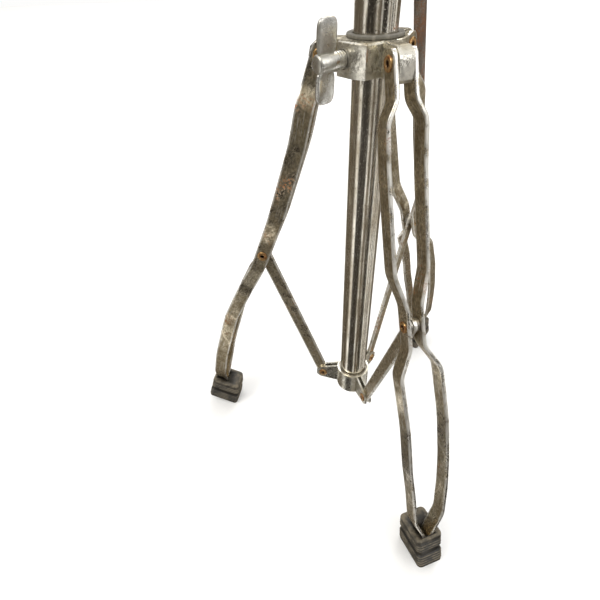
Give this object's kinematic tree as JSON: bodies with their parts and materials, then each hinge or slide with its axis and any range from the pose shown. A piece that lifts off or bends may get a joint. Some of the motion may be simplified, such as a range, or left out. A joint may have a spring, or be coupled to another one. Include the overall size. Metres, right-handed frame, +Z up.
{
  "type": "cymbal boom stand",
  "caption": "Folding double-braced tripod stand with telescoping tubes, a tilting boom arm and a felt-padded cymbal holder.",
  "frame": {"origin": "centre of the base tube's open lower end", "axes": "+Z up the tube; one leg points along -X, the others at -60 and +60 degrees about +Z from +X"},
  "size_m": [0.2975, 0.3424, 0.9885],
  "materials": {
    "chrome_tube": "old pitted chrome",
    "steel_strap": "old pitted chrome, worn",
    "collar_steel": "worn",
    "die_cast": "worn bright die-casting",
    "bushing": "dull",
    "rivet": "tarnished",
    "wing_bolt": "worn plating",
    "hardware": "dull plating",
    "boom_rod": "rusted steel",
    "foot_rubber": "dusty ribbed rubber",
    "felt": "pressed wool",
    "sleeve": "smooth"
  },
  "bodies": {
    "base": {"base_tube": "chrome_tube", "lower_collar": "collar_steel", "lower_collar_sleeve": "collar_steel", "lower_rivets": "rivet", "base_clamp": "die_cast", "base_bushing": "bushing", "base_washer": "hardware"},
    "base_wing_bolt": {"base_wing_bolt": "wing_bolt"},
    "brace_a": {"brace_a": "steel_strap"},
    "leg_a": {"leg_a_strap_left": "steel_strap", "leg_a_strap_right": "steel_strap", "leg_a_spacers": "hardware", "leg_a_middle_rivet": "rivet", "leg_a_foot": "foot_rubber"},
    "brace_b": {"brace_b": "steel_strap"},
    "leg_b": {"leg_b_strap_left": "steel_strap", "leg_b_strap_right": "steel_strap", "leg_b_spacers": "hardware", "leg_b_middle_rivet": "rivet", "leg_b_foot": "foot_rubber"},
    "brace_c": {"brace_c": "steel_strap"},
    "leg_c": {"leg_c_strap_left": "steel_strap", "leg_c_strap_right": "steel_strap", "leg_c_spacers": "hardware", "leg_c_middle_rivet": "rivet", "leg_c_foot": "foot_rubber"},
    "hub": {"hub": "die_cast", "hub_bushing": "bushing", "hub_rivets": "rivet", "hub_washer": "hardware"},
    "hub_wing_bolt": {"hub_wing_bolt": "wing_bolt"},
    "middle_tube": {"middle_tube": "chrome_tube", "middle_clamp": "die_cast", "middle_washer": "hardware"},
    "middle_wing_bolt": {"middle_wing_bolt": "wing_bolt"},
    "middle_bushing": {"middle_bushing": "bushing"},
    "top_tube": {"top_tube": "chrome_tube", "tilter_base": "die_cast", "tilter_washer": "hardware"},
    "tilter_wing_nut": {"tilter_wing_nut": "wing_bolt"},
    "tilter_head": {"tilter_head": "die_cast", "tilter_eye_bolt": "hardware"},
    "boom": {"boom_rod": "boom_rod"},
    "cymbal_holder": {"cymbal_holder_base": "die_cast"},
    "cymbal_post": {"cymbal_holder_head": "die_cast", "cymbal_holder_washer": "hardware", "cymbal_post": "hardware", "cymbal_seat": "hardware", "cymbal_sleeve": "sleeve", "lower_felt": "felt", "upper_felt": "felt", "cymbal_top_washer": "hardware"},
    "cymbal_holder_wing_bolt": {"cymbal_holder_wing_bolt": "wing_bolt"},
    "cymbal_wing_nut": {"cymbal_wing_nut": "wing_bolt"}
  },
  "joints": [
    {"name": "fold", "type": "hinge", "parent": "base", "child": "brace_a", "pos_m": [-0.035, 0, 0.012], "axis": [0, -1, 0], "range_deg": [-17.5, 24]},
    {"name": "leg_a_pivot", "type": "hinge", "parent": "brace_a", "child": "leg_a", "pos_m": [-0.09263, 0, 0.17936], "axis": [0, -1, 0], "range_deg": [-48, 35]},
    {"name": "hub_pivot", "type": "hinge", "parent": "leg_a", "child": "hub", "pos_m": [-0.035, 0, 0.34671], "axis": [0, -1, 0], "range_deg": [-17.5, 24]},
    {"name": "leg_b_pivot", "type": "hinge", "parent": "hub", "child": "leg_b", "pos_m": [0.0175, -0.03031, 0.34671], "axis": [0.866, 0.5, 0], "range_deg": [-24, 17.5]},
    {"name": "leg_c_pivot", "type": "hinge", "parent": "hub", "child": "leg_c", "pos_m": [0.0175, 0.03031, 0.34671], "axis": [-0.866, 0.5, 0], "range_deg": [-24, 17.5]},
    {"name": "brace_b_pivot", "type": "hinge", "parent": "base", "child": "brace_b", "pos_m": [0.0175, -0.03031, 0.012], "axis": [0.866, 0.5, 0], "range_deg": [-17.5, 24]},
    {"name": "brace_c_pivot", "type": "hinge", "parent": "base", "child": "brace_c", "pos_m": [0.0175, 0.03031, 0.012], "axis": [-0.866, 0.5, 0], "range_deg": [-17.5, 24]},
    {"name": "hub_wing_bolt_turn", "type": "hinge", "parent": "hub", "child": "hub_wing_bolt", "pos_m": [-0.01771, -0.02038, 0.34671], "axis": [-0.6561, -0.7547, 0], "continuous": true},
    {"name": "middle_tube_slide", "type": "slide", "parent": "base", "child": "middle_tube", "axis": [0, 0, 1], "range_m": [-0.03, 0.33]},
    {"name": "base_wing_bolt_turn", "type": "hinge", "parent": "base", "child": "base_wing_bolt", "pos_m": [-0.01897, -0.01095, 0.509], "axis": [-0.866, -0.5, 0], "continuous": true},
    {"name": "top_tube_swivel", "type": "hinge", "parent": "middle_tube", "child": "middle_bushing", "pos_m": [0, 0, 0.58], "axis": [0, 0, 1], "range_deg": [-130, 95]},
    {"name": "top_tube_slide", "type": "slide", "parent": "middle_bushing", "child": "top_tube", "axis": [0, 0, 1], "range_m": [-0.05, 0.29]},
    {"name": "middle_wing_bolt_turn", "type": "hinge", "parent": "middle_tube", "child": "middle_wing_bolt", "pos_m": [-0.0064, -0.01757, 0.579], "axis": [-0.342, -0.9397, 0], "continuous": true},
    {"name": "boom_tilt", "type": "hinge", "parent": "top_tube", "child": "tilter_head", "pos_m": [0, 0, 0.7], "axis": [-0.8018, 0.5976, 0], "range_deg": [-95, 2]},
    {"name": "tilter_wing_nut_turn", "type": "hinge", "parent": "top_tube", "child": "tilter_wing_nut", "pos_m": [0.00449, -0.00335, 0.7], "axis": [0.8018, -0.5976, 0], "continuous": true},
    {"name": "boom_slide", "type": "slide", "parent": "tilter_head", "child": "boom", "axis": [-0.1273, -0.1708, 0.977], "range_m": [-0.09, 0.36]},
    {"name": "boom_roll", "type": "hinge", "parent": "boom", "child": "cymbal_holder", "pos_m": [-0.03178, -0.01085, 0.82702], "axis": [-0.1273, -0.1708, 0.977], "continuous": true},
    {"name": "cymbal_tilt", "type": "hinge", "parent": "cymbal_holder", "child": "cymbal_post", "pos_m": [-0.03395, -0.01375, 0.84363], "axis": [-0.8018, 0.5976, 0], "range_deg": [-75, 75]},
    {"name": "cymbal_holder_wing_bolt_turn", "type": "hinge", "parent": "cymbal_post", "child": "cymbal_holder_wing_bolt", "pos_m": [-0.03816, -0.01062, 0.84363], "axis": [-0.8018, 0.5976, 0], "continuous": true},
    {"name": "cymbal_wing_nut_turn", "type": "hinge", "parent": "cymbal_post", "child": "cymbal_wing_nut", "pos_m": [-0.03924, -0.00981, 0.89173], "axis": [0, 0, 1], "continuous": true}
  ],
  "couplings": [
    {"joint": "leg_a_pivot", "follows": "fold", "ratio": -2},
    {"joint": "hub_pivot", "follows": "fold", "ratio": 1},
    {"joint": "leg_b_pivot", "follows": "fold", "ratio": -1},
    {"joint": "leg_c_pivot", "follows": "fold", "ratio": -1},
    {"joint": "brace_b_pivot", "follows": "fold", "ratio": 1},
    {"joint": "brace_c_pivot", "follows": "fold", "ratio": 1}
  ]
}
